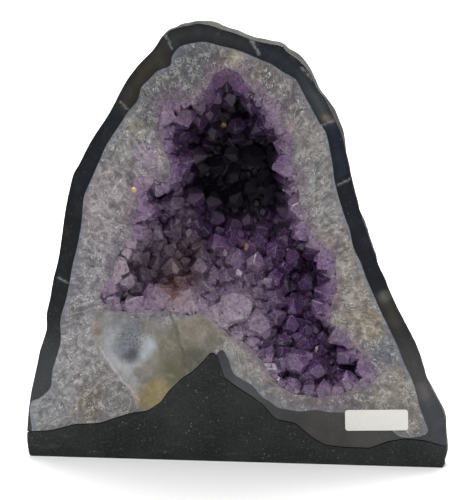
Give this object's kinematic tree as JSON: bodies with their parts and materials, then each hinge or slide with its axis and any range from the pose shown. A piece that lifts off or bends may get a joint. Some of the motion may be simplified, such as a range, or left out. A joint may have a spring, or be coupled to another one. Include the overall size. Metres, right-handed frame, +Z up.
{
  "type": "amethyst geode half",
  "caption": "Half of an amethyst geode, sawn and polished in front and sawn flat below, with a dark agate rind, grey quartz band and a hollow lined with purple crystals.",
  "frame": {"origin": "on the flat sawn foot, at about the middle of the area that the stone stands on", "axes": "+Z up, +X to the right of someone who faces the cut face, +Y from the cut face towards the rounded back"},
  "size_m": [0.2397, 0.0886, 0.2469],
  "materials": {
    "basalt": "dark green-grey basalt with fine pale specks, sawn and dull-polished on the cut faces",
    "agate": "glossy banded agate, navy to olive-brown, in a thin rough dark skin",
    "quartz": "polished grey-white fibrous quartz",
    "amethyst": "clear to cloudy purple crystals with bright flat faces",
    "label": "bare off-white paper label"
  },
  "bodies": {
    "root": {"basalt_foot": "basalt", "agate_rind": "agate", "quartz_band": "quartz", "amethyst_crust": "amethyst", "paper_label": "label"}
  },
  "joints": []
}
